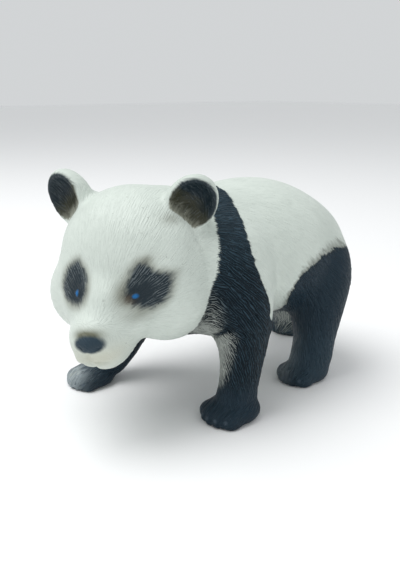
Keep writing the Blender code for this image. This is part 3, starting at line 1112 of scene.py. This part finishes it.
bump = nodes.new("ShaderNodeBump")
cut = calc("ADD", times(comb, COMB_CUT), times(hair, HAIR_CUT))
black_cut = times(dark_share, calc("ADD", times(lively, LIVELY_CUT), BLACK_CUT))
put(bump.inputs["Height"], times(cut, calc("ADD", black_cut, WHITE_CUT)))
bump.inputs["Strength"].default_value = 1.0
bump.inputs["Distance"].default_value = GROOVE_DEPTH

shader = nodes.new("ShaderNodeBsdfPrincipled")
gloss = calc("SUBTRACT", WHITE_GLOSS, times(dark_share, BLACK_DULLER))
put(shader.inputs["Base Color"], colour)
put(shader.inputs["Roughness"], calc("ADD", ROUGHNESS, times(mottle, ROUGHNESS_SPREAD)))
put(shader.inputs["Normal"], bump.outputs["Normal"])
put(shader.inputs["Specular IOR Level"], gloss)
output = nodes.new("ShaderNodeOutputMaterial")
links.new(shader.outputs[0], output.inputs["Surface"])
skin.data.materials.clear()
skin.data.materials.append(paint)
print("the paint has", len(nodes), "nodes")

# %% Give the skin its place in the frame
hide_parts("panda")
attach(skin, "root")

# %% [markdown]
# ## Floor, light and camera
#
# The floor is a plain pale sheet. One broad light from the upper left front makes the soft
# gloss on the brow and the back, a weak fill keeps the shadows open, and the pale world does the
# rest. The camera stands where the photograph's did: low, close, and off the panda's left cheek.

# %% Floor
FLOOR_SIZE = 6
PAPER = (0.95, 0.95, 0.95, 1)
PAPER_ROUGHNESS = 0.9

bpy.ops.object.select_all(action="DESELECT")
bpy.ops.mesh.primitive_plane_add(size=FLOOR_SIZE, location=(0, 0, 0))
floor = bpy.context.object
floor.name = "pale_floor"
sheet = bpy.data.materials.new("pale paper")
sheet.use_nodes = True
sheet_shader = sheet.node_tree.nodes["Principled BSDF"]
sheet_shader.inputs["Base Color"].default_value = PAPER
sheet_shader.inputs["Roughness"].default_value = PAPER_ROUGHNESS
floor.data.materials.append(sheet)

# %% Pale room
ROOM_COLOUR = (0.96, 0.985, 1.0, 1)
ROOM_STRENGTH = 0.67

world = bpy.data.worlds.new("pale room")
bpy.context.scene.world = world
world.use_nodes = True
background = world.node_tree.nodes["Background"]
background.inputs["Color"].default_value = ROOM_COLOUR
background.inputs["Strength"].default_value = ROOM_STRENGTH

# %% Key and fill, placed in metres
AIM = Vector((0, 0, 0.035))
KEY = ((-0.15, -0.22, 0.7), 0.6, 3.5)
FILL = ((0.6, 0.1, 0.35), 0.5, 0.12)


def soft_light(name, place, size, power):
    """A round area light that points at the middle of the figure."""
    lamp = bpy.data.lights.new(name, "AREA")
    lamp.shape = "DISK"
    lamp.size = size
    lamp.energy = power
    made = bpy.data.objects.new(name, lamp)
    made.location = place
    made.rotation_euler = (AIM - Vector(place)).to_track_quat("-Z", "Y").to_euler()
    bpy.context.scene.collection.objects.link(made)
    print(name, "light:", round((AIM - Vector(place)).length, 2), "m away")


soft_light("key", *KEY)
soft_light("fill", *FILL)

# %% Camera
LOOK_AT = Vector((-3.39, -5.27, 33.3)) * MM
AZIMUTH = math.radians(50.4)
ELEVATION = math.radians(16.5)
DISTANCE = 220 * MM
FOCAL_PIXELS = 674
FRAME_HEIGHT = 570
SENSOR = 36

lens = bpy.data.cameras.new("camera")
lens.sensor_width = SENSOR
lens.lens = SENSOR * FOCAL_PIXELS / FRAME_HEIGHT
camera = bpy.data.objects.new("camera", lens)
toward_eye = Vector((
    math.sin(AZIMUTH) * math.cos(ELEVATION), -math.cos(AZIMUTH) * math.cos(ELEVATION),
    math.sin(ELEVATION),
))
camera.location = LOOK_AT + toward_eye * DISTANCE
camera.rotation_euler = toward_eye.to_track_quat("Z", "Y").to_euler()
bpy.context.scene.collection.objects.link(camera)
bpy.context.scene.camera = camera
bpy.context.scene.view_settings.view_transform = "Standard"
print("the lens is", round(lens.lens, 1), "mm long")
